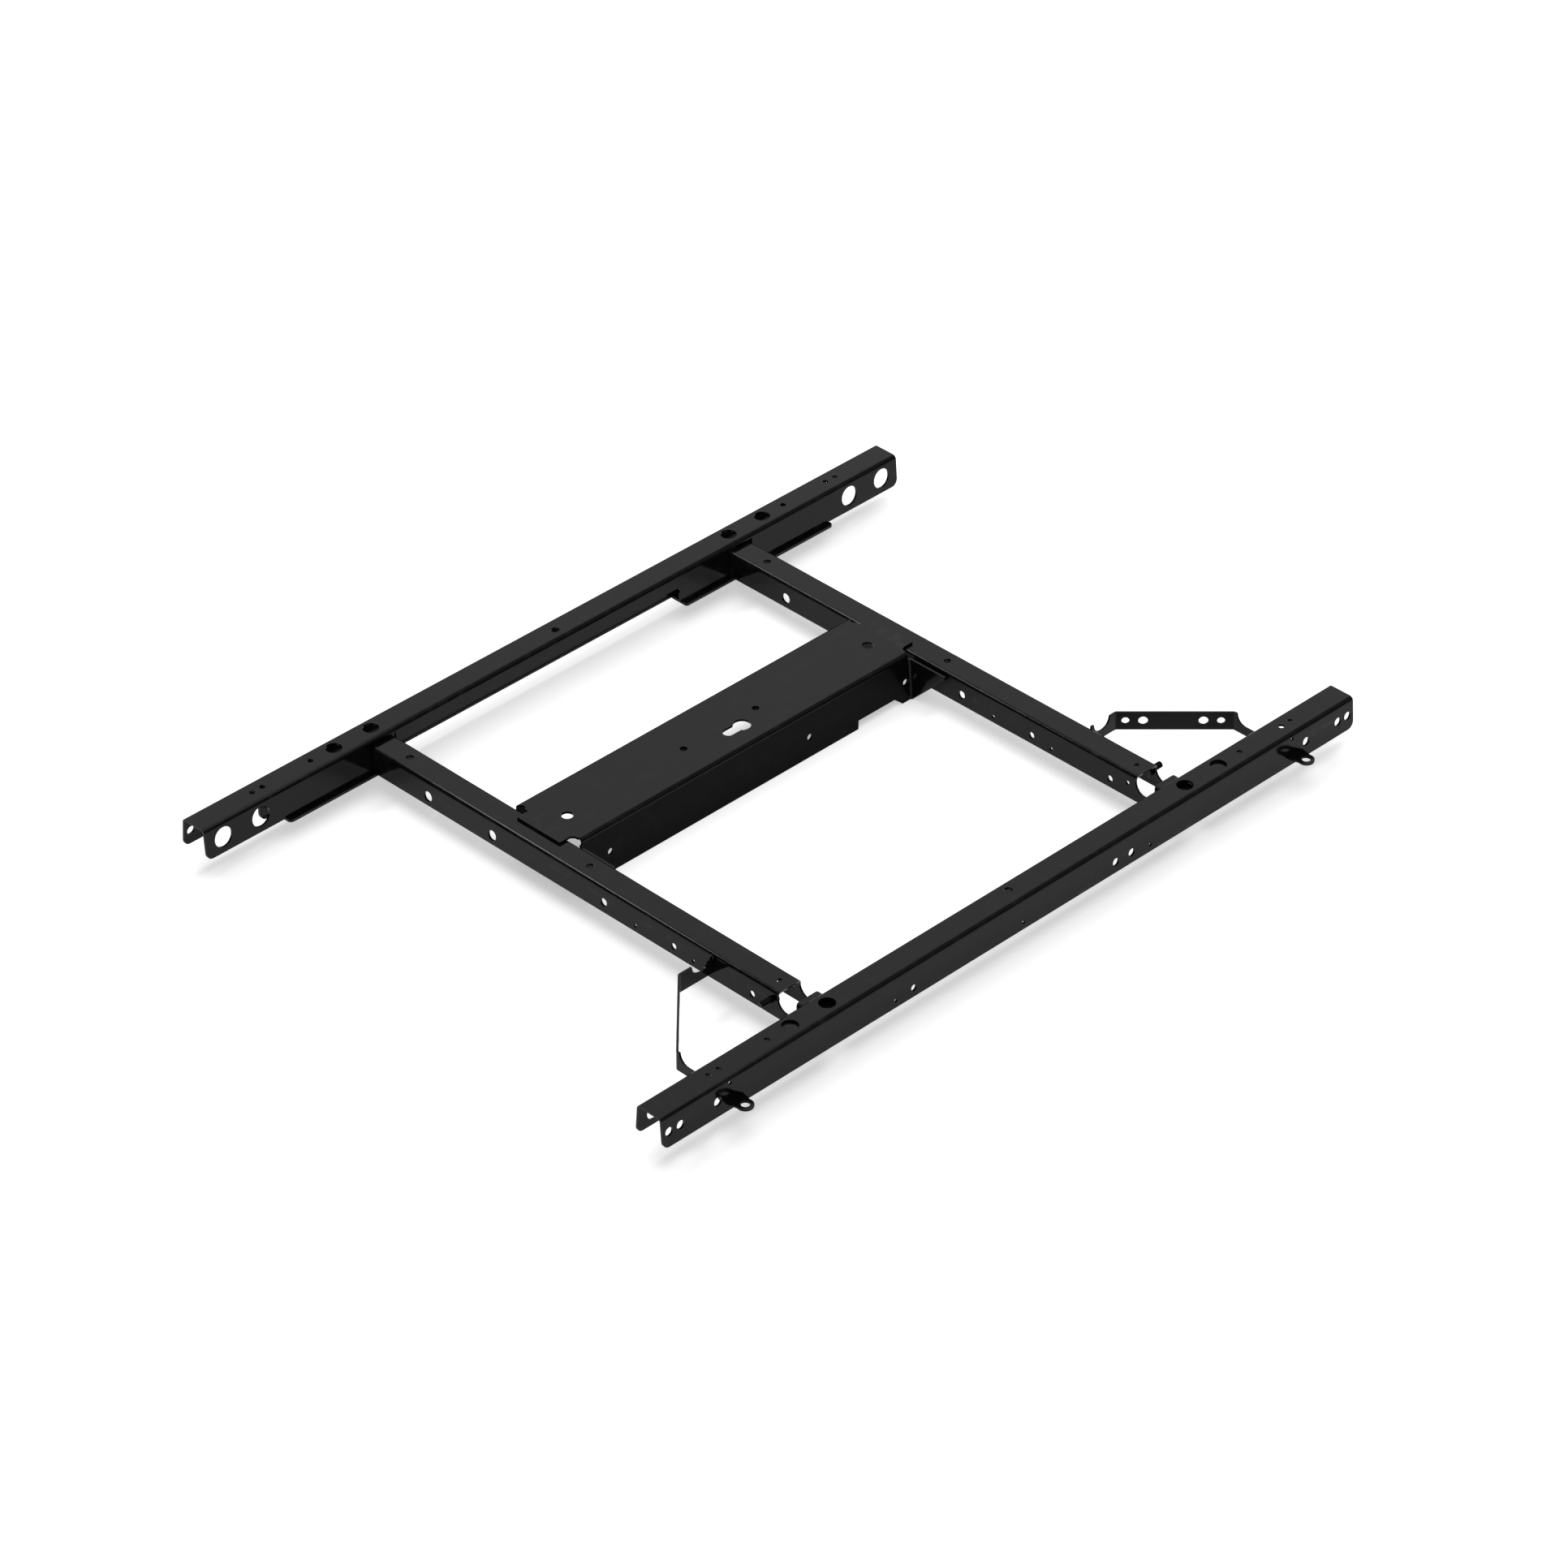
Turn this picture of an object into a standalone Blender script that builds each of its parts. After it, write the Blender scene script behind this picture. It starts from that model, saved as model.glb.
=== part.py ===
"""Welded channel under-frame of a fifth wheel hitch, for a truck bed.

Two long rails run along X. Two cross members run along Y, and a centre beam along X hangs between
them. Corner straps, eyelet tabs, studs and the hidden weld beads finish the frame.
Lengths here are millimetres and become metres in mesh_object(). Y = 0 is midway between the rails,
and the root empty then moves the frame so that its outline is centred on the origin. The bottom
edge of the centre beam is at Z = 0. Heights are written as depths below the tops of the rails, so
level(12) is 12 mm under them.
"""

from math import asin, cos, degrees, pi, radians, sin, tan

import bmesh
import bpy

# Overall
FRAME_HEIGHT = 74.2
SHEET = 3.0
SPLAY = 4.4
GAP = 0.3
PAST = 2.0
SIDE_CLEAR = 7.0
MM = 0.001

# Rails: upside-down channels along X
RAIL_HALF = 608.0
RAIL_WIDTH = 41.0
RAIL_DEPTH = 44.0
RAIL_BEND = 6.0
RAIL_CORNER = 10.0
RAIL_SPACING = 804.5
RAIL_Y_FAR = RAIL_SPACING / 2
RAIL_Y_NEAR = -RAIL_SPACING / 2
HOLE_LINE = 0.8
SOCKET_X = (314.85, 376.7)
SOCKET_R = 10.85
PILOT_X = (415.7, 495.2, 512.0)
PILOT_R = 4.0
CENTRE_HOLE_R = 5.75
CENTRE_HOLE_SHIFT = {"far": -2.0, "near": 4.4}
INNER_END_HOLES = (518.0, 579.0)
INNER_END_HOLE_R = 14.0
INNER_END_HOLE_DEPTH = 22.4
OUTER_END_HOLES = (518.0, 578.5, 597.0)
OUTER_END_HOLE_R = 6.0
OUTER_END_HOLE_DEPTH = 23.4
NEAR_SIDE_HOLES = ((-222.0, 34.2, 2.5), (-191.0, 31.8, 4.5), (0.0, 34.2, 2.5),
                   (165.0, 29.3, 5.5), (193.6, 29.3, 5.5), (227.5, 34.2, 2.5))

# Ledge angle inside the far rail
LEDGE_HALF = 503.0
LEDGE_SHEET = 4.0
LEDGE_FACE_Y = RAIL_Y_FAR - LEDGE_SHEET / 2
LEDGE_REACH_Y = RAIL_Y_FAR - RAIL_WIDTH / 2 - 9.9
LEDGE_TOP = 44.6
LEDGE_BOTTOM = LEDGE_TOP + LEDGE_SHEET
LEDGE_BEND = 7.0
LEDGE_FRONT = (-478.5, -264.5)
LEDGE_BACK = (207.5, 478.5)
LEDGE_WINDOWS = ((-396.0, -296.0), (-14.0, 14.0), (296.0, 396.0))
LEDGE_WINDOW_DEPTH = 16.0
LEDGE_NOSE = 6.0
LEDGE_TOE = 4.0
LEDGE_CORNER = 12.0
BAY_END = 203.5
BAY_DEPTH = 21.0
BAY_FILLET = 5.0

# Cross members: upside-down channels along Y
CROSS_X = 314.5
CROSS_WIDTH = 39.3
CROSS_TOP = 9.3
CROSS_BOTTOM = 44.3
CROSS_BEND = 5.0
CROSS_Y_FAR = LEDGE_FACE_Y - (LEDGE_BEND - LEDGE_SHEET) - GAP
CROSS_Y_NEAR = RAIL_Y_NEAR - 15.0
DOOR_TOP = 6.0
SCALLOP_Y = RAIL_Y_NEAR + 48.6
SCALLOP_DEPTH = 16.6
SCALLOP_R = 16.0
CROSS_TOP_HOLES = ((330.75, 5.0), (4.75, 5.0), (-321.75, 3.75))
CROSS_SIDE_HOLES = ((-296.25, 32.5, 4.5), (-196.25, 36.4, 2.5), (-162.25, 32.6, 4.5),
                    (-95.85, 36.0, 2.5), (-40.25, 30.2, 5.5), (158.75, 31.5, 7.0),
                    (275.75, 31.3, 7.0))
CROSS_INNER_HOLE = (-325.25, 24.5, 3.0)

# Outer studs
STUD_Y = -327.95
STUD_DEPTH = 23.4
STUD_R = 4.3
STUD_REACH = 18.5
STUD_CHAMFER = 1.0
STUD_HEAD_R = 7.0
STUD_HEAD = 4.0

# Centre beam: a channel along X with one deep side
BEAM_TOP = 6.0
BEAM_BEND = 6.0
BEAM_Y_NEAR = 48.25
BEAM_Y_FAR = 161.15
BEAM_NEAR_DEPTH = FRAME_HEIGHT
BEAM_FAR_DEPTH = 50.0
BEAM_TONGUE_HALF = 310.5
BEAM_TONGUE_Y = (63.15, 139.15)
BEAM_RELIEF_FAR = (293.7, 150.55, 5.5)
BEAM_RELIEF_NEAR = (294.5, 56.25, 6.5)
EAR_TIP_Y = -13.25
EAR_TOP = 14.7
EAR_SLOPE_Y = 41.5
BEAM_RELIEF_BOTTOM = 20.0
BEAM_ROUND_HOLES = ((-264.3, 98.25, 7.75), (264.3, 98.25, 7.75), (-63.3, 99.55, 5.0),
                    (63.3, 99.55, 5.0))
KEYHOLE_X = 25.4
KEYHOLE_Y = 85.5
KEYHOLE_R = 11.75
KEYHOLE_SLOT_R = 7.5
KEYHOLE_SLOT_X = 1.4
BEAM_NUT_X = 63.3
BEAM_NUT_R = 9.0
BEAM_NUT_BORE = 5.0
BEAM_NUT_HEIGHT = 8.0
BEAM_SIDE_HOLES = (-241.5, 106.6, 280.0)
BEAM_SIDE_HOLE_DEPTH = 45.6
BEAM_SIDE_HOLE_R = 4.5
BEAM_NOTCH = (192.0, 193.5, 259.0, 273.5)
BEAM_NOTCH_HEIGHT = 12.0

# Corner straps: bent flat bars, given for the back corner and mirrored for the front one, which
# sits a little further out and nearer to the near rail
STRAP_TOP = 9.6
STRAP_BOTTOM = 36.0
STRAP_Y = -225.25
STRAP_X = 486.7
STRAP_DIAGONAL = 156.35
STRAP_BEND = 3.0
STRAP_HOLES = ((390.0, 5.0), (405.8, 6.15), (459.7, 6.15), (475.4, 5.0))
STRAP_HOLE_DEPTH = 22.5
STRAP_BITE_X = 355.7
STRAP_BITE_R = 14.8
STRAP_TAIL_TOP = 24.0
STRAP_TAIL_START_Y = -334.25
STRAP_SHIFT = {"front": (8.6, -4.9), "back": (0.0, 0.0)}

# Eyelet tabs through the near rail's side, with a small hole above each
TAB_X = {"front": -491.3, "back": 497.7}
TAB_ROOT_HALF = 13.6
TAB_TOP = 31.0
TAB_NOSE_R = 10.8
TAB_EYE_R = 5.65
TAB_EYE_OUT = 19.6
TAB_REACH = TAB_EYE_OUT + TAB_NOSE_R
TAB_INNER = 12.0
TAB_RELIEF = (-5.5, 7.5, 2.5)

# Doubler plates under the two outer sockets of the near rail
DOUBLER_X = 377.0
DOUBLER_LENGTH = 40.0
DOUBLER_WIDTH = 28.0

WELD_LEG = 3.0
WELD_GAP = 0.25
LEDGE_WELDS = (-440.0, -240.0, 240.0, 440.0)
LEDGE_WELD_HALF = 20.0

GLOSS_BLACK = (0.006, 0.006, 0.007)
BEAD_BLACK = (0.012, 0.012, 0.013)
ROOT = "frame_root"


def level(depth):
    """Height of a plane that lies depth under the rails' tops."""
    return FRAME_HEIGHT - depth


def flare(depth, top, bend):
    """How far a splayed side has moved outward at a depth, from the bend under its top sheet."""
    return bend / cos(radians(SPLAY)) - bend + (depth - top - bend) * tan(radians(SPLAY))


def arc(cx, cy, radius, start, end, steps=6):
    """Points from angle start to angle end, in degrees, both ends included."""
    angles = [radians(start + (end - start) * i / steps) for i in range(steps + 1)]
    return [(cx + radius * cos(a), cy + radius * sin(a)) for a in angles]


def circle(cx, cy, radius):
    """A closed ring of points, finer on the larger holes."""
    steps = 16 if radius < 5 else 24 if radius < 9 else 32
    return arc(cx, cy, radius, 0, 360, steps)[:-1]


def rectangle(x0, y0, x1, y1):
    return [(x0, y0), (x1, y0), (x1, y1), (x0, y1)]


def mirrored(outline):
    """The outline flipped to the other side of X = 0."""
    return [(-x, y) for x, y in reversed(outline)]


def prism(outline, axis, low, high):
    """An outline swept along an axis: it lies in YZ for X, in XZ for Y and in XY for Z."""
    place = {"X": lambda u, v, w: (w, u, v), "Y": lambda u, v, w: (u, w, v),
             "Z": lambda u, v, w: (u, v, w)}[axis]
    count = len(outline)
    verts = [place(u, v, w) for w in (low, high) for u, v in outline]
    sides = [(i, (i + 1) % count, (i + 1) % count + count, i + count) for i in range(count)]
    return verts, [tuple(range(count)), tuple(range(count, 2 * count))] + sides


def turned(shape, angle, at):
    """A prism made about the origin, turned about Z and moved to a point."""
    c, s = cos(radians(angle)), sin(radians(angle))
    verts = [(x * c - y * s + at[0], x * s + y * c + at[1], z + at[2]) for x, y, z in shape[0]]
    return verts, shape[1]


def channel(low, high, top, low_bottom, high_bottom, bend):
    """Cross section of an upside-down channel whose sides splay outward below round bends."""
    inner = bend - SHEET
    hub = level(top) - bend
    thick = SHEET / cos(radians(SPLAY))

    def foot(bottom):
        return flare(bottom, top, bend), level(bottom)

    low_out, low_z = foot(low_bottom)
    high_out, high_z = foot(high_bottom)
    outside = ([(low - low_out, low_z)] + arc(low + bend, hub, bend, 180 - SPLAY, 90)
               + arc(high - bend, hub, bend, 90, SPLAY) + [(high + high_out, high_z)])
    inside = ([(high + high_out - thick, high_z)] + arc(high - bend, hub, inner, SPLAY, 90)
              + arc(low + bend, hub, inner, 90, 180 - SPLAY) + [(low - low_out + thick, low_z)])
    return outside + inside


def mesh_object(name, shapes):
    """One mesh object holding the given prisms, with every face turned outward."""
    mesh = bpy.data.meshes.new(name)
    bm = bmesh.new()
    for verts, faces in shapes:
        made = [bm.verts.new([value * MM for value in v]) for v in verts]
        for face in faces:
            bm.faces.new([made[i] for i in face])
    bmesh.ops.recalc_face_normals(bm, faces=bm.faces)
    bm.to_mesh(mesh)
    bm.free()
    item = bpy.data.objects.new(name, mesh)
    item.parent = bpy.data.objects[ROOT]
    bpy.context.scene.collection.objects.link(item)
    return item


def boolean(item, shapes, operation, label):
    """Adds a Boolean with a hidden tool that holds all the given prisms."""
    tool = mesh_object(f"{item.name}_{label}", shapes)
    tool.hide_render = True
    tool.display_type = "WIRE"
    modifier = item.modifiers.new(label, "BOOLEAN")
    modifier.operation = operation
    modifier.solver = "EXACT"
    modifier.object = tool


def paint(item):
    """Gloss black paint, a little duller on the weld beads."""
    bead = item.name.startswith("weld")
    material = bpy.data.materials.new(item.name)
    material.use_nodes = True
    shader = material.node_tree.nodes["Principled BSDF"]
    shader.inputs["Base Color"].default_value = (*(BEAD_BLACK if bead else GLOSS_BLACK), 1.0)
    shader.inputs["Roughness"].default_value = 0.3 if bead else 0.12
    shader.inputs["Metallic"].default_value = 0.0
    item.data.materials.append(material)


def solid(name, shape, cuts=(), joins=(), more_cuts=()):
    """A sub-part: a swept sheet, cut, then joined with more sheet, then cut again."""
    item = mesh_object(name, [shape])
    for label, shapes, operation in (("cuts", cuts, "DIFFERENCE"), ("joins", joins, "UNION"),
                                     ("more_cuts", more_cuts, "DIFFERENCE")):
        if shapes:
            boolean(item, shapes, operation, label)
    paint(item)


def through_web(x, y, radius, top):
    """A round cutter through a flat top sheet."""
    return prism(circle(x, y, radius), "Z", level(top + SHEET + PAST), level(top - PAST))


def through_side(x, depth, radius, face_y, direction):
    """A round cutter through one side sheet of a rail, from outside its outer face inward."""
    ends = side_span(face_y, direction)
    return prism(circle(x, level(depth), radius), "Y", *ends)


def side_span(face, direction):
    """Span of a cutter through a splayed side sheet whose face starts at the bend."""
    return sorted((face - direction * SIDE_CLEAR, face + direction * (SHEET + PAST)))


def end_corner(sign, x_end, bottom, radius):
    """Outline in XZ that rounds off a lower corner at one end."""
    z = level(bottom)
    curve = arc(x_end - radius, z + radius, radius, 270, 360)
    outline = curve + [(x_end + PAST, z + radius), (x_end + PAST, z - PAST),
                       (x_end - radius, z - PAST)]
    return outline if sign > 0 else mirrored(outline)


def door_edges():
    """Inner and outer X of the opening that a cross member passes through."""
    half = CROSS_WIDTH / 2 + flare(CROSS_BOTTOM, CROSS_TOP, CROSS_BEND) + GAP
    return CROSS_X - half, CROSS_X + half


def door_outline():
    inner, outer = door_edges()
    return rectangle(inner, level(RAIL_DEPTH + PAST), outer, level(DOOR_TOP))


def bay_outline():
    """The far rail's inner side has a door at the front that widens into a long shallow bay."""
    under = level(RAIL_DEPTH + PAST)
    door, bay = level(DOOR_TOP), level(BAY_DEPTH)
    inner, outer = door_edges()
    corner = arc(BAY_END - BAY_FILLET, bay - BAY_FILLET, BAY_FILLET, 90, 0)
    return ([(-outer, under), (-outer, door), (-inner, door), (-inner, bay)] + corner
            + [(BAY_END, under)])


def rail(name, side):
    """One long rail. Its inner side faces the other rail."""
    centre = RAIL_Y_FAR if side == "far" else RAIL_Y_NEAR
    toward = -1 if side == "far" else 1
    inner_face = centre + toward * RAIL_WIDTH / 2
    outer_face = centre - toward * RAIL_WIDTH / 2
    section = channel(centre - RAIL_WIDTH / 2, centre + RAIL_WIDTH / 2, 0.0, RAIL_DEPTH,
                      RAIL_DEPTH, RAIL_BEND)
    line = centre + HOLE_LINE
    cuts = [through_web(0.0, centre + CENTRE_HOLE_SHIFT[side], CENTRE_HOLE_R, 0.0)]
    for sign in (-1, 1):
        cuts += [through_web(sign * x, line, SOCKET_R, 0.0) for x in SOCKET_X]
        cuts += [through_web(sign * x, line, PILOT_R, 0.0) for x in PILOT_X]
        cuts += [through_side(sign * x, INNER_END_HOLE_DEPTH, INNER_END_HOLE_R, inner_face,
                              -toward) for x in INNER_END_HOLES]
        cuts += [through_side(sign * x, OUTER_END_HOLE_DEPTH, OUTER_END_HOLE_R, outer_face,
                              toward) for x in OUTER_END_HOLES]
        cuts.append(prism(end_corner(sign, RAIL_HALF, RAIL_DEPTH, RAIL_CORNER), "Y",
                          centre - RAIL_WIDTH, centre + RAIL_WIDTH))
    flange = side_span(inner_face, -toward)
    cuts.append(prism(door_outline(), "Y", *flange))
    if side == "far":
        cuts.append(prism(bay_outline(), "Y", *flange))
    else:
        cuts.append(prism(mirrored(door_outline()), "Y", *flange))
        cuts += [through_side(x, depth, radius, outer_face, toward)
                 for x, depth, radius in NEAR_SIDE_HOLES]
        for x in TAB_X.values():
            shift, depth, radius = TAB_RELIEF
            cuts.append(prism(tab_slot(x), "Y", *side_span(outer_face, toward)))
            cuts.append(through_side(x + shift, depth, radius, outer_face, toward))
    solid(name, prism(section, "X", -RAIL_HALF, RAIL_HALF), cuts)


def tab_slot(x):
    """Outline in XZ of the slot that an eyelet tab passes through."""
    half = TAB_ROOT_HALF + GAP
    return rectangle(x - half, level(TAB_TOP + SHEET + GAP), x + half, level(TAB_TOP - GAP))


def ledge_angle(name):
    """Angle nested in the far rail. Its foot carries the cross members' far ends."""
    back = LEDGE_FACE_Y + LEDGE_SHEET
    top = level(SHEET + GAP)
    bottom = level(LEDGE_BOTTOM)
    hub = (back - LEDGE_BEND, bottom + LEDGE_BEND)
    section = ([(LEDGE_REACH_Y, bottom)] + arc(*hub, LEDGE_BEND, 270, 360)
               + [(back, top), (LEDGE_FACE_Y, top)]
               + arc(*hub, LEDGE_BEND - LEDGE_SHEET, 360, 270)
               + [(LEDGE_REACH_Y, level(LEDGE_TOP))])
    out, wall, end = LEDGE_REACH_Y - PAST, LEDGE_FACE_Y, LEDGE_HALF + PAST
    front0, front1 = LEDGE_FRONT
    back0, back1 = LEDGE_BACK
    toe = LEDGE_TOE
    feet = (
        [(-end, out), (front0 + LEDGE_NOSE, out)]
        + arc(front0 + LEDGE_NOSE, LEDGE_REACH_Y + LEDGE_NOSE, LEDGE_NOSE, 270, 180)
        + [(front0, wall), (-end, wall)],
        [(front1 - toe, out), (back0 + toe, out)]
        + arc(back0 + toe, LEDGE_REACH_Y + toe, toe, 270, 180) + [(back0, wall), (front1, wall)]
        + arc(front1 - toe, LEDGE_REACH_Y + toe, toe, 360, 270),
        [(back1 - toe, out), (end, out), (end, wall), (back1, wall)]
        + arc(back1 - toe, LEDGE_REACH_Y + toe, toe, 360, 270),
    )
    cuts = [prism(foot, "Z", bottom - PAST, level(LEDGE_TOP - 1)) for foot in feet]
    wall_span = (LEDGE_FACE_Y - 1, back + PAST)
    corners = [prism(end_corner(sign, LEDGE_HALF, LEDGE_BOTTOM, LEDGE_CORNER), "Y", *wall_span)
               for sign in (-1, 1)]
    corners += [prism(rectangle(x0, level(LEDGE_WINDOW_DEPTH), x1, top + PAST), "Y", *wall_span)
                for x0, x1 in LEDGE_WINDOWS]
    solid(name, prism(section, "X", -LEDGE_HALF, LEDGE_HALF), cuts, more_cuts=corners)


def cross_member(name, sign):
    """One cross member. sign is -1 at the front and 1 at the back."""
    centre = sign * CROSS_X
    half = CROSS_WIDTH / 2
    section = channel(centre - half, centre + half, CROSS_TOP, CROSS_BOTTOM, CROSS_BOTTOM,
                      CROSS_BEND)
    across = (centre - half - SIDE_CLEAR, centre + half + SIDE_CLEAR)
    cuts = [through_web(centre, y, radius, CROSS_TOP) for y, radius in CROSS_TOP_HOLES]
    cuts += [prism(circle(y, level(depth), radius), "X", *across)
             for y, depth, radius in CROSS_SIDE_HOLES]
    cuts.append(prism(circle(SCALLOP_Y, level(SCALLOP_DEPTH), SCALLOP_R), "X", *across))
    outer, inner = centre + sign * half, centre - sign * half
    stud_hole = circle(STUD_Y, level(STUD_DEPTH), STUD_R + GAP)
    cuts.append(prism(stud_hole, "X", *side_span(outer, -sign)))
    y, depth, radius = CROSS_INNER_HOLE
    cuts.append(prism(circle(y, level(depth), radius), "X", *side_span(inner, sign)))
    solid(name, prism(section, "Y", CROSS_Y_NEAR, CROSS_Y_FAR), cuts)


def outer_stud(name, sign):
    """A headed stud that stands out of a cross member's outer side."""
    face = CROSS_X + CROSS_WIDTH / 2
    head_back = face - SHEET - GAP - STUD_HEAD
    end = face + STUD_REACH
    profile = [(head_back, 0.0), (head_back, STUD_HEAD_R), (head_back + STUD_HEAD, STUD_HEAD_R),
               (head_back + STUD_HEAD, STUD_R), (end - STUD_CHAMFER, STUD_R),
               (end, STUD_R - STUD_CHAMFER), (end, 0.0)]
    steps = 24
    verts, faces = [], []
    rings = profile[1:-1]
    for x, radius in rings:
        verts += [(sign * x, STUD_Y + radius * cos(2 * pi * i / steps),
                   level(STUD_DEPTH) + radius * sin(2 * pi * i / steps)) for i in range(steps)]
    for ring in range(len(rings) - 1):
        for i in range(steps):
            here, there = ring * steps, (ring + 1) * steps
            faces.append((here + i, here + (i + 1) % steps, there + (i + 1) % steps, there + i))
    faces += [tuple(range(steps)), tuple(range(len(verts) - steps, len(verts)))]
    solid(name, (verts, faces))


def beam_half():
    """Half length of the beam between the cross members' splayed inner sides."""
    return CROSS_X - CROSS_WIDTH / 2 - flare(CROSS_BOTTOM, CROSS_TOP, CROSS_BEND) - GAP


def leaned(shape, hub):
    """A prism sheared so that it leans out with the beam's splayed near side."""
    lean = tan(radians(SPLAY))
    return [(x, y - (hub - z) * lean, z) for x, y, z in shape[0]], shape[1]


def beam_ear():
    """Outline in XY of the near side's end, bent outward to lie on the cross member."""
    lean = cos(radians(SPLAY))
    hub_y = BEAM_Y_NEAR + BEAM_BEND
    outer, inner = hub_y - BEAM_BEND / lean, hub_y - (BEAM_BEND - SHEET) / lean
    end = beam_half()
    corner_x, corner_y = end - BEAM_BEND, inner - BEAM_BEND
    return ([(corner_x - PAST, outer)] + arc(corner_x, corner_y, BEAM_BEND - (inner - outer), 90, 0)
            + [(end - (inner - outer), EAR_TIP_Y), (end, EAR_TIP_Y)]
            + arc(corner_x, corner_y, BEAM_BEND, 0, 90) + [(corner_x - PAST, inner)])


def keyhole():
    """Outline of a round hole with a narrower slot that runs toward the front."""
    mouth = 180 - degrees(asin(KEYHOLE_SLOT_R / KEYHOLE_R))
    return (arc(KEYHOLE_X, KEYHOLE_Y, KEYHOLE_R, -mouth, mouth, 24)
            + arc(KEYHOLE_SLOT_X, KEYHOLE_Y, KEYHOLE_SLOT_R, 90, 270, 12))


def centre_beam(name):
    """Channel between the cross members: tongues rest on them, ears are bent against them."""
    section = channel(BEAM_Y_NEAR, BEAM_Y_FAR, BEAM_TOP, BEAM_NEAR_DEPTH, BEAM_FAR_DEPTH,
                      BEAM_BEND)
    half = beam_half()
    bend_end = half - BEAM_BEND
    web_edge = BEAM_Y_NEAR + BEAM_BEND
    top, under = level(BEAM_TOP), level(BEAM_TOP + SHEET)
    near_side = side_span(BEAM_Y_NEAR, 1)
    ends, joins = [], []
    openings = [prism(keyhole(), "Z", under - PAST, top + PAST)]
    openings += [through_web(x, y, radius, BEAM_TOP) for x, y, radius in BEAM_ROUND_HOLES]
    openings += [prism(circle(x, level(BEAM_SIDE_HOLE_DEPTH), BEAM_SIDE_HOLE_R), "Y", *near_side)
                 for x in BEAM_SIDE_HOLES]
    x0, x1, x2, x3 = BEAM_NOTCH
    notch = [(x0, -PAST), (x3 + PAST, -PAST), (x2, BEAM_NOTCH_HEIGHT), (x1, BEAM_NOTCH_HEIGHT)]
    openings.append(prism(notch, "Y", *near_side))
    tip = EAR_TIP_Y - SIDE_CLEAR
    slope = [(EAR_SLOPE_Y + PAST, -PAST), (tip, EAR_SLOPE_Y - tip), (tip, -PAST)]
    for sign in (-1, 1):
        flip = mirrored if sign < 0 else list
        side_end = rectangle(bend_end, BEAM_Y_NEAR - SIDE_CLEAR, half + PAST, web_edge)
        tongue = rectangle(bend_end, BEAM_TONGUE_Y[0], BEAM_TONGUE_HALF, BEAM_TONGUE_Y[1])
        ends.append(prism(flip(side_end), "Z", -PAST, top + PAST))
        joins.append(prism(flip(tongue), "Z", under, top))
        ear = prism(flip(beam_ear()), "Z", 0.0, level(EAR_TOP))
        joins.append(leaned(ear, level(BEAM_TOP + BEAM_BEND)))
        for x, y, radius in (BEAM_RELIEF_FAR, BEAM_RELIEF_NEAR):
            openings.append(prism(circle(sign * x, y, radius), "Z", level(BEAM_RELIEF_BOTTOM),
                                  top + PAST))
        openings.append(prism(slope, "X", *sorted((sign * (bend_end - PAST),
                                                   sign * (half + PAST)))))
    solid(name, prism(section, "X", -half, half), ends, joins, openings)


def beam_nut(name, sign):
    """Round weld nut under a small hole in the beam's top."""
    x, y = sign * BEAM_NUT_X, BEAM_ROUND_HOLES[-1][1]
    high = level(BEAM_TOP + SHEET + GAP)
    low = high - BEAM_NUT_HEIGHT
    bore = prism(circle(x, y, BEAM_NUT_BORE), "Z", low - PAST, high + PAST)
    solid(name, prism(circle(x, y, BEAM_NUT_R), "Z", low, high), [bore])


def cross_face(depth):
    """Outer X of a cross member's splayed outer side at a depth."""
    return CROSS_X + CROSS_WIDTH / 2 + flare(depth, CROSS_TOP, CROSS_BEND)


def near_rail_face(depth):
    """Y of the near rail's splayed inner side at a depth."""
    return RAIL_Y_NEAR + RAIL_WIDTH / 2 + flare(depth, 0.0, RAIL_BEND)


def strap_outline(out, aside):
    """Outline in XY of the back corner strap: two legs and a diagonal, with round bends."""
    start = cross_face(STRAP_BOTTOM) + GAP
    end = near_rail_face(STRAP_BOTTOM) + GAP
    leg_x, leg_y = STRAP_X + out, STRAP_Y + aside
    diagonal = STRAP_DIAGONAL + out + aside
    back_off = STRAP_BEND * tan(pi / 8)
    knee = (diagonal - leg_y - back_off, leg_y - STRAP_BEND)
    ankle = (leg_x - STRAP_BEND, diagonal - leg_x - back_off)
    outer = STRAP_BEND + SHEET
    return ([(start, leg_y)] + arc(*knee, STRAP_BEND, 90, 45) + arc(*ankle, STRAP_BEND, 45, 0)
            + [(leg_x, end), (leg_x + SHEET, end)] + arc(*ankle, outer, 0, 45)
            + arc(*knee, outer, 45, 90) + [(start, leg_y + SHEET)])


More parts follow.
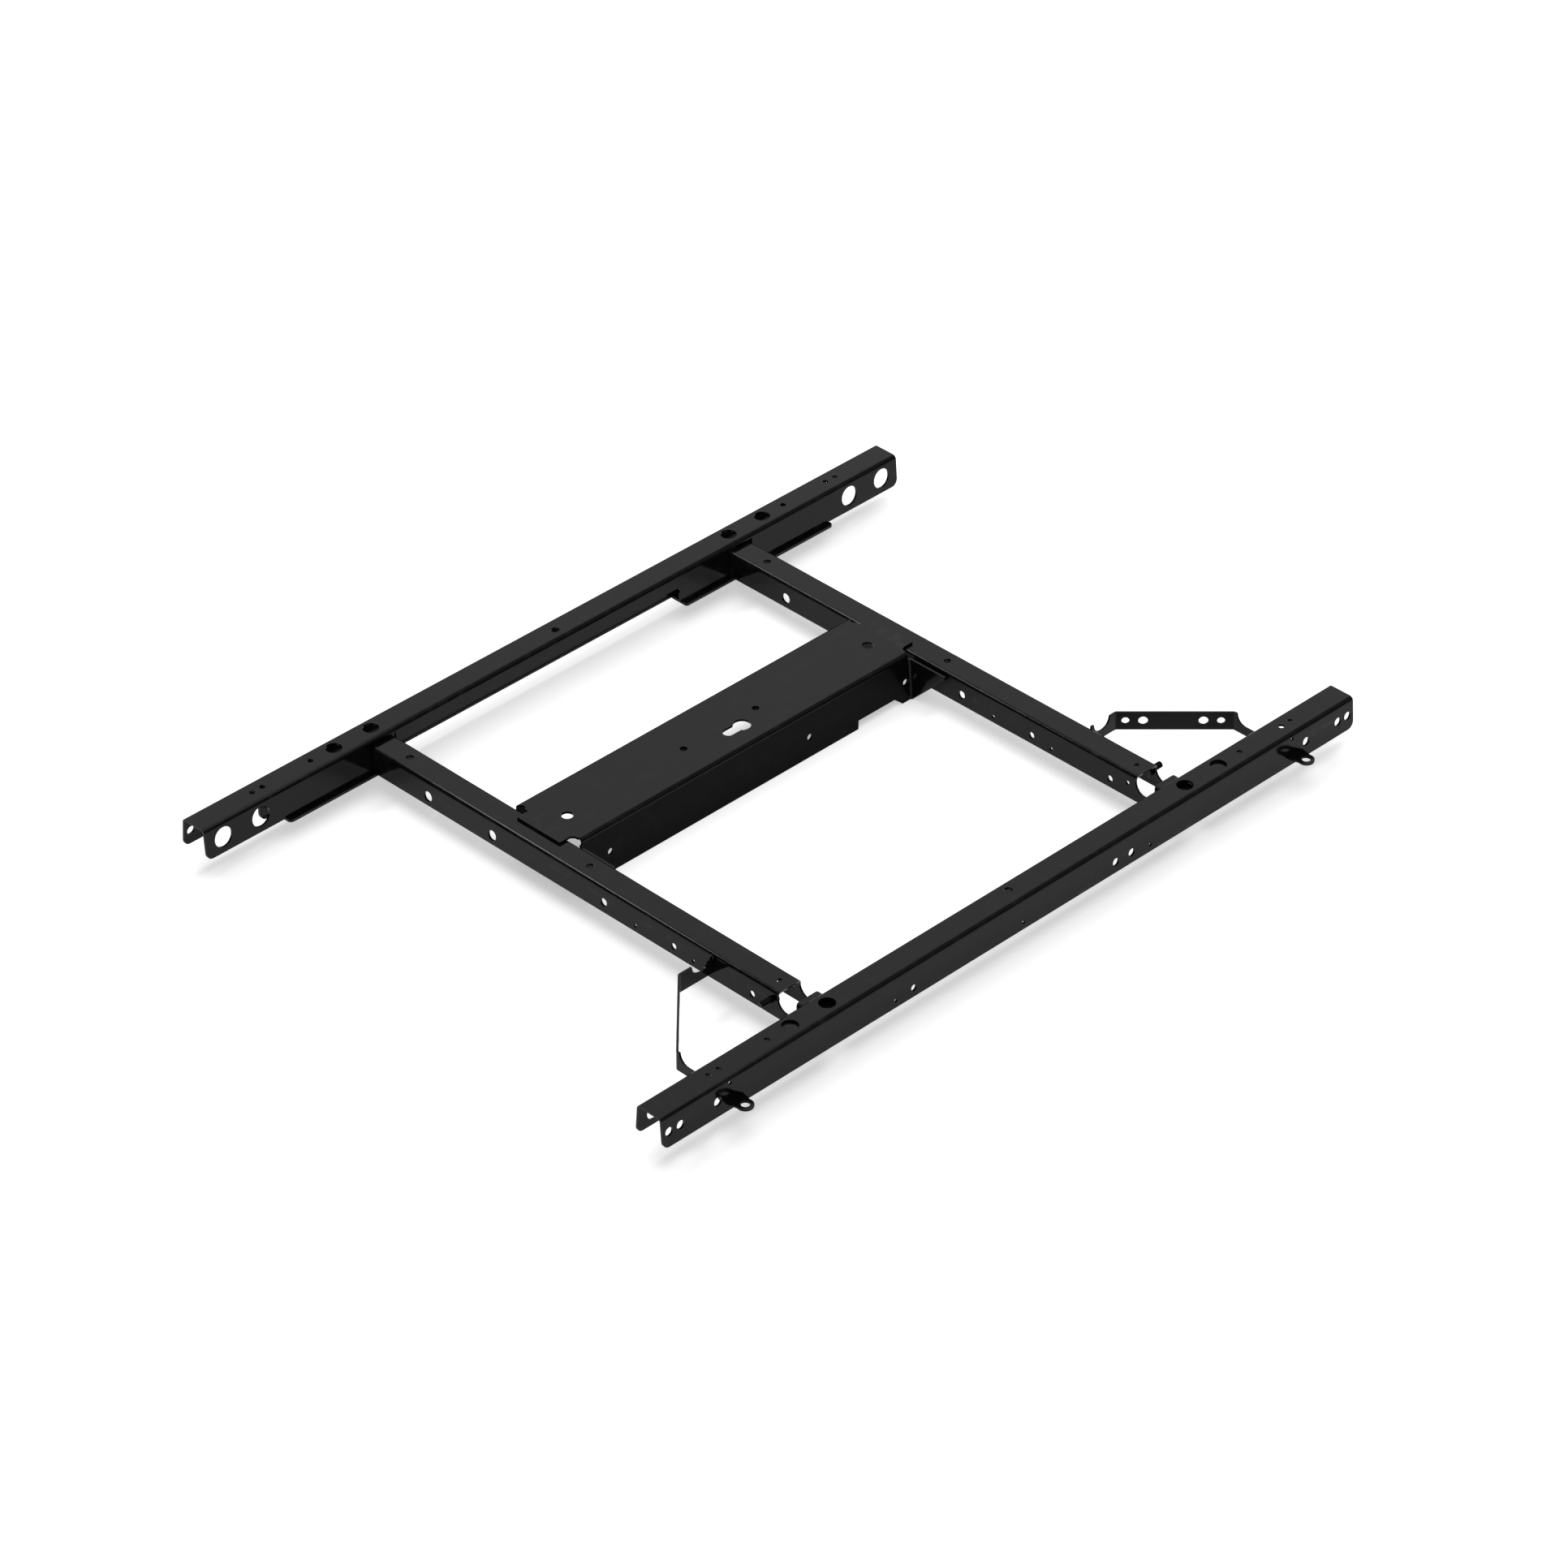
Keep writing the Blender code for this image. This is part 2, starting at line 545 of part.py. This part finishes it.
def corner_strap(name, sign, place):
    """Bent flat bar from a cross member to the near rail, with holes along its diagonal."""
    flip = mirrored if sign < 0 else list
    out, aside = STRAP_SHIFT[place]
    leg_x, leg_y = STRAP_X + out, STRAP_Y + aside
    diagonal = STRAP_DIAGONAL + out + aside
    bite = prism(flip(circle(STRAP_BITE_X, level(STRAP_TOP), STRAP_BITE_R)), "Y",
                 leg_y - PAST, leg_y + SHEET + PAST)
    drop = STRAP_TAIL_TOP - STRAP_TOP
    crown, tail = level(STRAP_TOP - PAST), RAIL_Y_NEAR + RAIL_WIDTH / 2 - PAST
    start = STRAP_TAIL_START_Y + aside
    step = ([(tail, crown), (tail, level(STRAP_TAIL_TOP))]
            + arc(start - drop, level(STRAP_TOP), drop, 270, 360) + [(start, crown)])
    sides = sorted((sign * (leg_x - PAST), sign * (leg_x + SHEET + PAST)))
    cuts = [bite, prism(step, "X", *sides)]
    for x, radius in STRAP_HOLES:
        bore = prism(circle(0.0, 0.0, radius), "Y", -PAST, SHEET + PAST)
        cuts.append(turned(bore, -45 * sign, (sign * (x + out), STRAP_DIAGONAL + aside - x,
                                              level(STRAP_HOLE_DEPTH))))
    outline = flip(strap_outline(out, aside))
    solid(name, prism(outline, "Z", level(STRAP_BOTTOM), level(STRAP_TOP)), cuts)


def eyelet_tab(name, x):
    """Flat tab through the near rail's side, tapering to a round end with an eye."""
    root = RAIL_Y_NEAR - RAIL_WIDTH / 2
    eye = root - TAB_EYE_OUT
    half = TAB_ROOT_HALF
    outline = ([(x + half, root + TAB_INNER), (x + half, root - flare(TAB_TOP, 0.0, RAIL_BEND))]
               + arc(x, eye, TAB_NOSE_R, 375, 165, 20)
               + [(x - half, root - flare(TAB_TOP, 0.0, RAIL_BEND)), (x - half, root + TAB_INNER)])
    low, high = level(TAB_TOP + SHEET), level(TAB_TOP)
    hole = prism(circle(x, eye, TAB_EYE_R), "Z", low - PAST, high + PAST)
    solid(name, prism(outline, "Z", low, high), [hole])


def doubler(name, sign):
    """Plate under the near rail's top, below an outer socket."""
    crown = level(SHEET + GAP)
    half = DOUBLER_WIDTH / 2
    plate = rectangle(RAIL_Y_NEAR - half, crown - SHEET, RAIL_Y_NEAR + half, crown)
    reach = DOUBLER_LENGTH / 2
    solid(name, prism(plate, "X", sign * DOUBLER_X - reach, sign * DOUBLER_X + reach))


def weld(name, axis, corner, toward, span):
    """A triangular bead in the corner between two sheets, a hair clear of both."""
    (u, v), (du, dv) = corner, toward
    u, v = u + du * WELD_GAP, v + dv * WELD_GAP
    bead = [(u, v), (u + du * WELD_LEG, v), (u, v + dv * WELD_LEG)]
    solid(name, prism(bead, axis, *span))


def hidden_welds():
    """Beads on the inner and under sides, where the sheets meet."""
    inner_near, inner_far = RAIL_Y_NEAR + RAIL_WIDTH / 2 - SHEET, RAIL_Y_FAR - RAIL_WIDTH / 2 + SHEET
    for place, sign in (("front", -1), ("back", 1)):
        side = sign * cross_face(STRAP_BOTTOM)
        out, aside = STRAP_SHIFT[place]
        weld(f"weld_strap_cross_member_{place}", "Z", (side, STRAP_Y + aside + SHEET), (sign, 1),
             (level(34), level(20)))
        weld(f"weld_strap_rail_{place}", "Z",
             (sign * (STRAP_X + out + SHEET), near_rail_face(STRAP_BOTTOM)), (sign, 1),
             (level(35), level(26)))
        weld(f"weld_near_rail_cross_member_{place}", "Z", (side, inner_near), (sign, -1),
             (level(35), level(15)))
        weld(f"weld_far_rail_cross_member_{place}", "Z", (side, inner_far), (sign, 1),
             (level(35), level(15)))
        weld(f"weld_beam_tongue_{place}", "Y",
             (sign * (CROSS_X - CROSS_WIDTH / 2), level(BEAM_TOP + SHEET)), (-sign, -1),
             (BEAM_TONGUE_Y[0] + 4, BEAM_TONGUE_Y[1] - 4))
        weld(f"weld_eyelet_tab_{place}", "X",
             (RAIL_Y_NEAR - RAIL_WIDTH / 2 + SHEET, level(TAB_TOP + SHEET)), (1, -1),
             (TAB_X[place] - 10, TAB_X[place] + 10))
    for number, middle in enumerate(LEDGE_WELDS, start=1):
        weld(f"weld_ledge_angle_{number}", "X", (LEDGE_FACE_Y + LEDGE_SHEET, level(SHEET)),
             (1, -1), (middle - LEDGE_WELD_HALF, middle + LEDGE_WELD_HALF))


def build():
    for item in list(bpy.data.objects):
        bpy.data.objects.remove(item, do_unlink=True)
    root = bpy.data.objects.new(ROOT, None)
    root.location.y = (TAB_REACH - flare(RAIL_DEPTH, 0.0, RAIL_BEND)) / 2 * MM
    bpy.context.scene.collection.objects.link(root)
    rail("rail_far", "far")
    rail("rail_near", "near")
    ledge_angle("ledge_angle_far")
    centre_beam("centre_beam")
    for place, sign in (("front", -1), ("back", 1)):
        cross_member(f"cross_member_{place}", sign)
        outer_stud(f"outer_stud_{place}", sign)
        corner_strap(f"corner_strap_{place}", sign, place)
        beam_nut(f"beam_nut_{place}", sign)
        eyelet_tab(f"eyelet_tab_{place}", TAB_X[place])
        doubler(f"rail_doubler_{place}", sign)
    hidden_welds()


build()
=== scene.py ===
"""Looks of a gloss black, powder-coated base frame of a fifth wheel hitch.

Sheet pieces are copies of the CAD solids with rounded sheet edges and smooth bends. Weld beads,
studs and weld nuts are modelled anew inside the space that the CAD gives them.
"""

from math import atan, cos, pi, radians, sin, sqrt

import bmesh
import bpy
from mathutils import Matrix, Vector


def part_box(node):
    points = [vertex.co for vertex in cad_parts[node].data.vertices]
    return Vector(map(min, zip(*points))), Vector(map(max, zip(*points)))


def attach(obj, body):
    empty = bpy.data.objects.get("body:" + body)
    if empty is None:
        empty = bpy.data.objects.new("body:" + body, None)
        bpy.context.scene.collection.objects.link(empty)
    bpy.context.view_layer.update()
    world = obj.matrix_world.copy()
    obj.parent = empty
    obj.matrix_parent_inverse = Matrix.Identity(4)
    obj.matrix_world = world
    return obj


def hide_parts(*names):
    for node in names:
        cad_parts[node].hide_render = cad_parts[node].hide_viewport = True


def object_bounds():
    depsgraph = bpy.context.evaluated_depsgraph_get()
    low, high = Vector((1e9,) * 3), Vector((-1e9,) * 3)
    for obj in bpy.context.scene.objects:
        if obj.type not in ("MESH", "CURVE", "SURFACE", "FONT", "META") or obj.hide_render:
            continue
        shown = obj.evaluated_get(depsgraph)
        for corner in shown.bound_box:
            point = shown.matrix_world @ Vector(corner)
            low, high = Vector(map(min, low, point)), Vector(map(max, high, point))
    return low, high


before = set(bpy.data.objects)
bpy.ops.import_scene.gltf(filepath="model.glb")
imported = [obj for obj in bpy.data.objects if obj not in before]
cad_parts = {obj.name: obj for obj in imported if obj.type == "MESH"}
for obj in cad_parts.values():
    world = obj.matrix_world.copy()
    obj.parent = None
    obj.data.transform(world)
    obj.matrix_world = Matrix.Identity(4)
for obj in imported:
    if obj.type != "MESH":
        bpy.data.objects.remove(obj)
CAD_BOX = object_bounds()

MM = 0.001
BODY = "root"

# Camera, metres: an isometric view through a long lens
CAMERA = Vector((-4.5871, -4.5880, 4.6267))
AZIMUTH = radians(-45)
ELEVATION = atan(1 / sqrt(2))
LENS = 146.27
SENSOR = 36.0

# Powder coat: feature sizes are noise scales, in waves per metre
WEAR_SCALE = 55.0
SMUDGE_SCALE = 6.0
DUST_SCALE = 900.0
PEEL_SCALE = 420.0
WAVE_SCALE = 24.0
WEAR_ROUGHNESS = 0.25
DUST_ROUGHNESS = 0.012
SMUDGE_FACTOR = 2.2
PEEL_DEPTH = 0.05 * MM
PAINT_TONE = (0.0022, 0.0022, 0.0024)
PAINT_WORN = (0.02, 0.02, 0.021)
WELD_TONE = (0.003, 0.003, 0.0033)
WELD_WORN = (0.02, 0.02, 0.02)

# Stage and light
FLOOR_RADIUS = 9.0
FLOOR_TONE = (0.86, 0.86, 0.86)
FLOOR_ROUGHNESS = 0.9
FLOOR_GLOW = 0.45
FLOOR_DROP = 0.0004
ROOM_LIGHT = 0.12
WALL_LIGHT = 0.85
SIDE_LIGHT = 0.34
NEAR_LIGHT = 1.0
HORIZON_LIGHT = 0.03
OVERHEAD_POWER = 45
OVERHEAD_SIZE = (3.2, 3.2)
OVERHEAD_HEIGHT = 3.0
STRIP_POWER = 32
STRIP_SIZE = (2.2, 0.22)
STRIP_DISTANCE = 4.0
STRIP_DIRECTION = (-0.14, 0.60, 0.79)

# Weld beads, studs and nuts. Lengths of turned pieces are millimetres
BEAD_PITCH = 1.8 * MM
BEAD_STEPS = 4
BEAD_SIDES = 6
TURN_STEPS = 48
STUD_HEAD_R = 7.0
STUD_HEAD = 4.0
STUD_R = 4.3
THREAD_LENGTH = 13.0
THREAD_PITCH = 1.25
THREAD_DEEP = 0.5
THREAD_STEP = THREAD_PITCH * 1.05
THREAD_RUNOUT = 2.0
NUT_BORE = 5.0
NUT_LEAD = 0.7
NUT_RIM = 0.8
NUT_THREAD_DEEP = 0.35

# Sheet edges
EDGE_ROUND = 0.3 * MM
EDGE_STEPS = 2
SHARP_ANGLE = radians(38)
FLAT_ANGLE = radians(0.4)
BEAM_SIDE_NORMAL = -0.99


# ---------------------------------------------------------------- materials

class Nodes:
    """Short calls for building a node tree."""

    def __init__(self, tree):
        self.tree = tree

    def add(self, kind, **values):
        node = self.tree.nodes.new(kind)
        for key, value in values.items():
            setattr(node, key, value)
        return node

    def link(self, source, target):
        self.tree.links.new(source, target)

    def math(self, operation, first, second):
        node = self.add("ShaderNodeMath", operation=operation)
        for socket, value in zip(node.inputs, (first, second)):
            if isinstance(value, (int, float)):
                socket.default_value = value
            else:
                self.link(value, socket)
        return node.outputs[0]

    def noise(self, where, scale, detail=2.0, rough=0.5):
        node = self.add("ShaderNodeTexNoise")
        self.link(where, node.inputs["Vector"])
        node.inputs["Scale"].default_value = scale
        node.inputs["Detail"].default_value = detail
        node.inputs["Roughness"].default_value = rough
        return node.outputs["Fac"]

    def spread(self, value, low, high, to_low, to_high):
        node = self.add("ShaderNodeMapRange")
        self.link(value, node.inputs["Value"])
        for name, number in (("From Min", low), ("From Max", high), ("To Min", to_low),
                             ("To Max", to_high)):
            node.inputs[name].default_value = number
        return node.outputs["Result"]


def paint_material(name, base, worn, rough, peel, ior):
    """Powder coat: orange peel, fine dust in its gloss, and a little wear on the edges."""
    made = bpy.data.materials.new(name)
    made.use_nodes = True
    tree = Nodes(made.node_tree)
    shader = made.node_tree.nodes["Principled BSDF"]
    where = tree.add("ShaderNodeTexCoord").outputs["Object"]

    # wear shows only where an edge is convex and a patchy noise is high
    point = tree.add("ShaderNodeNewGeometry").outputs["Pointiness"]
    edge = tree.spread(point, 0.53, 0.62, 0, 1)
    patchy = tree.spread(tree.noise(where, WEAR_SCALE, 4.0, 0.6), 0.5, 0.72, 0, 1)
    wear = tree.math("MULTIPLY", edge, patchy)
    tone = tree.add("ShaderNodeMix", data_type="RGBA")
    tone.inputs["A"].default_value = (*base, 1)
    tone.inputs["B"].default_value = (*worn, 1)
    tree.link(wear, tone.inputs["Factor"])
    tree.link(tone.outputs["Result"], shader.inputs["Base Color"])

    # broad smudges, fine dust and the worn edges are a little duller
    smudge = tree.spread(tree.noise(where, SMUDGE_SCALE, 5.0, 0.62), 0.35, 0.7, rough,
                         rough * SMUDGE_FACTOR)
    dust = tree.spread(tree.noise(where, DUST_SCALE, 1.0), 0.62, 0.75, 0, DUST_ROUGHNESS)
    gloss = tree.math("ADD", smudge, dust)
    gloss = tree.math("ADD", gloss, tree.math("MULTIPLY", wear, WEAR_ROUGHNESS))
    tree.link(gloss, shader.inputs["Roughness"])
    shader.inputs["IOR"].default_value = ior

    # orange peel over a slight waviness
    fine = tree.noise(where, PEEL_SCALE, 2.0)
    broad = tree.noise(where, WAVE_SCALE, 3.0)
    bump = tree.add("ShaderNodeBump")
    bump.inputs["Strength"].default_value = peel
    bump.inputs["Distance"].default_value = PEEL_DEPTH
    tree.link(tree.math("ADD", fine, broad), bump.inputs["Height"])
    tree.link(bump.outputs["Normal"], shader.inputs["Normal"])
    return made


PAINT = paint_material("gloss_powder_coat", PAINT_TONE, PAINT_WORN, rough=0.07, peel=0.35,
                       ior=1.22)
# Painted shade: a duller copy of the gloss coat, with a lower refractive index and more
# roughness, that darkens the reflections on the centre beam's -Y side only, in place of the shade
# that the floor in front of the beam would give
BEAM_SIDE_SHADE_PAINT = paint_material("beam_side_painted_shade", PAINT_TONE, PAINT_WORN, rough=0.12, peel=0.35,
                            ior=1.10)
WELD_PAINT = paint_material("weld_powder_coat", WELD_TONE, WELD_WORN, rough=0.16, peel=0.6,
                            ior=1.26)


# ---------------------------------------------------------------- pieces

def show(name, shape, material, node):
    """A finished piece, from a bmesh, that stands for a CAD node."""
    mesh = bpy.data.meshes.new(name)
    shape.to_mesh(mesh)
    shape.free()
    mesh.materials.append(material)
    item = bpy.data.objects.new(name, mesh)
    bpy.context.scene.collection.objects.link(item)
    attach(item, BODY)
    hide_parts(node)
    flat = item.modifiers.new("even_shading", "WEIGHTED_NORMAL")
    flat.mode = "FACE_AREA"
    flat.weight = 90
    flat.keep_sharp = True
    return item


def shade(shape):
    """Smooth shading that stays crisp across sharp corners."""
    for face in shape.faces:
        face.smooth = True
    for edge in shape.edges:
        sharp = len(edge.link_faces) == 2 and edge.calc_face_angle(0.0) > SHARP_ANGLE
        edge.smooth = not sharp


def rounded_sheet(node):
    """The node's own solid with every sheet edge rounded off."""
    shape = bmesh.new()
    shape.from_mesh(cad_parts[node].data)
    bmesh.ops.remove_doubles(shape, verts=shape.verts, dist=1e-6)
    bmesh.ops.dissolve_limit(shape, angle_limit=FLAT_ANGLE, verts=shape.verts,
                             edges=shape.edges)
    corners = [edge for edge in shape.edges
               if len(edge.link_faces) == 2 and edge.calc_face_angle(0.0) > SHARP_ANGLE]
    bmesh.ops.bevel(shape, geom=corners, offset=EDGE_ROUND, offset_type="OFFSET",
                    segments=EDGE_STEPS, profile=0.5, affect="EDGES", clamp_overlap=True,
                    harden_normals=False)
    shade(shape)
    mesh = show(f"{node}_sheet", shape, PAINT, node).data
    # Painted shade: the centre beam's -Y facing side gets the darker copy of the coat, so that
    # side reflects less than the beam's top
    if node == "centre_beam":
        mesh.materials.append(BEAM_SIDE_SHADE_PAINT)
        for face in mesh.polygons:
            face.material_index = int(face.normal.y < BEAM_SIDE_NORMAL)


def rippled_bead(node):
    """A convex weld bead with even ripples, in the corner that the CAD bead fills."""
    points = [vertex.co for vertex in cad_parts[node].data.vertices]
    low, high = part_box(node)
    along = max(range(3), key=lambda axis: high[axis] - low[axis])
    first, second = [axis for axis in range(3) if axis != along]
    spots = {(round(p[first], 5), round(p[second], 5)) for p in points}
    corner = next(spot for spot in spots
                  if sum(abs(spot[0] - other[0]) < 1e-5 for other in spots) == 2
                  and sum(abs(spot[1] - other[1]) < 1e-5 for other in spots) == 2)
    reach = [max((spot[k] - corner[k] for spot in spots), key=abs) for k in (0, 1)]
    length = high[along] - low[along]
    rings = round(length / BEAD_PITCH) * BEAD_STEPS
    shape = bmesh.new()
    previous = None
    for ring in range(rings + 1):
        ripple = abs(sin(pi * ring / BEAD_STEPS))
        taper = min(1.0, 0.62 + 0.38 * min(ring, rings - ring) / BEAD_STEPS)
        size = taper * (0.88 + 0.12 * ripple)
        verts = []
        for step in range(BEAD_SIDES + 1):
            turn = pi / 2 * step / BEAD_SIDES
            crown = 0.74 + 0.26 * abs(cos(2 * turn))
            lag = sin(2 * turn) * BEAD_PITCH * 0.45 * (1 if 0 < ring < rings else 0)
            place = Vector()
            place[first] = corner[0] + reach[0] * size * crown * cos(turn)
            place[second] = corner[1] + reach[1] * size * crown * sin(turn)
            place[along] = min(low[along] + length * ring / rings + lag, high[along])
            verts.append(shape.verts.new(place))
        place = Vector()
        place[first], place[second] = corner
        place[along] = low[along] + length * ring / rings
        verts.append(shape.verts.new(place))
        if previous:
            for k in range(len(verts)):
                after = (k + 1) % len(verts)
                shape.faces.new((previous[k], previous[after], verts[after], verts[k]))
        else:
            shape.faces.new(verts)
        previous = verts
    shape.faces.new(list(reversed(previous)))
    bmesh.ops.recalc_face_normals(shape, faces=shape.faces)
    shade(shape)
    show(f"{node}_bead", shape, WELD_PAINT, node)


def lathed(name, node, axis, sign, profile, closed):
    """A turned piece about the middle of a node's box.

    The profile is (radius, distance) in millimetres. It ends on the axis, or closes on itself.
    """
    low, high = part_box(node)
    middle = (low + high) / 2
    first, second = [k for k in range(3) if k != axis]
    start = low[axis] if sign > 0 else high[axis]
    shape = bmesh.new()
    rows = []
    for radius, distance in profile:
        row = []
        for step in range(TURN_STEPS if radius > 0 else 1):
            angle = 2 * pi * step / TURN_STEPS
            place = Vector()
            place[axis] = start + sign * distance * MM
            place[first] = middle[first] + radius * MM * cos(angle)
            place[second] = middle[second] + radius * MM * sin(angle)
            row.append(shape.verts.new(place))
        rows.append(row)
    pairs = list(zip(rows, rows[1:] + rows[:1] if closed else rows[1:]))
    for row, after in pairs:
        for step in range(TURN_STEPS):
            n = (step + 1) % TURN_STEPS
            if len(row) == 1:
                shape.faces.new((row[0], after[step], after[n]))
            elif len(after) == 1:
                shape.faces.new((row[step], row[n], after[0]))
            else:
                shape.faces.new((row[step], row[n], after[n], after[step]))
    bmesh.ops.recalc_face_normals(shape, faces=shape.faces)
    shade(shape)
    show(name, shape, PAINT, node)


def threaded_stud(node):
    """A weld stud: a low round head inside the cross member, and a threaded shank outside it."""
    low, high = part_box(node)
    sign = 1 if low.x + high.x > 0 else -1
    length = (high.x - low.x) / MM
    profile = [(0, 0), (STUD_HEAD_R - 0.6, 0), (STUD_HEAD_R, 0.6), (STUD_HEAD_R, STUD_HEAD - 0.4),
               (STUD_HEAD_R - 0.4, STUD_HEAD), (STUD_R, STUD_HEAD)]
    at = length - THREAD_LENGTH
    while at < length - THREAD_RUNOUT:
        profile += [(STUD_R, at), (STUD_R - THREAD_DEEP, at + THREAD_PITCH * 0.45),
                    (STUD_R - THREAD_DEEP, at + THREAD_PITCH * 0.6), (STUD_R, at + THREAD_PITCH)]
        at += THREAD_STEP
    profile += [(STUD_R - 0.1, length - 1.2), (STUD_R - 1.1, length - 0.15),
                (STUD_R - 1.3, length), (0, length)]
    lathed(f"{node}_threaded", node, 0, sign, profile, False)


def weld_nut(node):
    """A round weld nut with chamfered rims and a countersunk bore."""
    low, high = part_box(node)
    height = (high.z - low.z) / MM
    outer = (high.x - low.x) / 2 / MM
    profile = [(NUT_BORE + NUT_LEAD, 0), (outer - NUT_RIM, 0), (outer - 0.2, 0.25),
               (outer, NUT_RIM), (outer, height - NUT_RIM), (outer - 0.2, height - 0.25),
               (outer - NUT_RIM, height), (NUT_BORE + NUT_LEAD, height),
               (NUT_BORE, height - NUT_LEAD)]
    at = height - 2 * NUT_LEAD
    while at > 2 * NUT_LEAD:
        profile += [(NUT_BORE, at), (NUT_BORE + NUT_THREAD_DEEP, at - 0.5)]
        at -= 1.0
    profile += [(NUT_BORE, NUT_LEAD)]
    lathed(f"{node}_turned", node, 2, 1, profile, True)


def pieces():
    """Every CAD node gets its finished piece: a bead, stud or nut, and a sheet for the rest."""
    makers = {"weld_": rippled_bead, "outer_stud": threaded_stud, "beam_nut": weld_nut}
    for node in sorted(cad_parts):
        make = next((makers[start] for start in makers if node.startswith(start)), rounded_sheet)
        make(node)


# ---------------------------------------------------------------- stage, light and camera

def floor():
    """A wide pale floor, faintly lit from within like a light table."""
    surface = bpy.data.materials.new("pale_floor")
    surface.use_nodes = True
    shader = surface.node_tree.nodes["Principled BSDF"]
    shader.inputs["Base Color"].default_value = (*FLOOR_TONE, 1)
    shader.inputs["Roughness"].default_value = FLOOR_ROUGHNESS
    shader.inputs["Specular IOR Level"].default_value = 0.0
    shader.inputs["Emission Color"].default_value = (1, 1, 1, 1)
    shader.inputs["Emission Strength"].default_value = FLOOR_GLOW
    shape = bmesh.new()
    bmesh.ops.create_circle(shape, cap_ends=True, segments=96, radius=FLOOR_RADIUS)
    mesh = bpy.data.meshes.new("floor")
    shape.to_mesh(mesh)
    shape.free()
    mesh.materials.append(surface)
    item = bpy.data.objects.new("floor", mesh)
    bpy.context.scene.collection.objects.link(item)
    item.location.z = CAD_BOX[0].z - FLOOR_DROP


def area_light(name, direction, distance, size, power):
    """A soft panel that faces the middle of the frame."""
    lamp = bpy.data.lights.new(name, "AREA")
    lamp.shape = "RECTANGLE"
    lamp.size, lamp.size_y = size
    lamp.energy = power
    item = bpy.data.objects.new(name, lamp)
    bpy.context.scene.collection.objects.link(item)
    direction = Vector(direction).normalized()
    item.location = direction * distance
    item.rotation_euler = (-direction).to_track_quat("-Z", "Y").to_euler()


def studio_world():
    """A dim room, dark at the horizon, with a bright wall behind and softer ones around."""
    world = bpy.data.worlds.new("studio")
    bpy.context.scene.world = world
    world.use_nodes = True
    tree = Nodes(world.node_tree)
    back = world.node_tree.nodes["Background"]
    back.inputs["Color"].default_value = (1, 1, 1, 1)
    ray = tree.add("ShaderNodeTexCoord").outputs["Generated"]
    parts = tree.add("ShaderNodeSeparateXYZ")
    tree.link(ray, parts.inputs[0])
    rise = tree.spread(parts.outputs["Z"], 0.20, 0.46, 0.0, 1.0)
    behind = tree.spread(parts.outputs["Y"], 0.10, 0.42, 0.0, 1.0)
    front = tree.spread(parts.outputs["Y"], -0.10, -0.42, 0.0, 1.0)
    right = tree.spread(parts.outputs["X"], -0.25, 0.15, 0.0, 1.0)
    left = tree.spread(parts.outputs["X"], -0.10, -0.42, 0.0, 1.0)
    wall = tree.math("MULTIPLY", behind, tree.math("MULTIPLY", right, WALL_LIGHT))
    side = tree.math("MULTIPLY", right, SIDE_LIGHT)
    near = tree.math("MULTIPLY", front, tree.math("MULTIPLY", left, NEAR_LIGHT))
    room = tree.math("ADD", tree.math("ADD", side, near), ROOM_LIGHT)
    glow = tree.math("MULTIPLY", rise, tree.math("ADD", wall, room))
    tree.link(tree.math("ADD", glow, HORIZON_LIGHT), back.inputs["Strength"])


def camera():
    """The camera, at its fixed place and turned to its azimuth and elevation."""
    lens = bpy.data.cameras.new("camera")
    lens.lens = LENS
    lens.sensor_width = SENSOR
    lens.clip_end = 100.0
    item = bpy.data.objects.new("camera", lens)
    bpy.context.scene.collection.objects.link(item)
    back = Vector((sin(AZIMUTH) * cos(ELEVATION), -cos(AZIMUTH) * cos(ELEVATION),
                   sin(ELEVATION)))
    right = Vector((cos(AZIMUTH), sin(AZIMUTH), 0))
    turn = Matrix((right, back.cross(right), back)).transposed().to_4x4()
    item.matrix_world = Matrix.Translation(CAMERA) @ turn
    bpy.context.scene.camera = item


pieces()
floor()
studio_world()
area_light("overhead_panel", (0, 0, 1), OVERHEAD_HEIGHT, OVERHEAD_SIZE, OVERHEAD_POWER)
area_light("strip_panel", STRIP_DIRECTION, STRIP_DISTANCE, STRIP_SIZE, STRIP_POWER)
bpy.context.scene.view_settings.view_transform = "Standard"
camera()
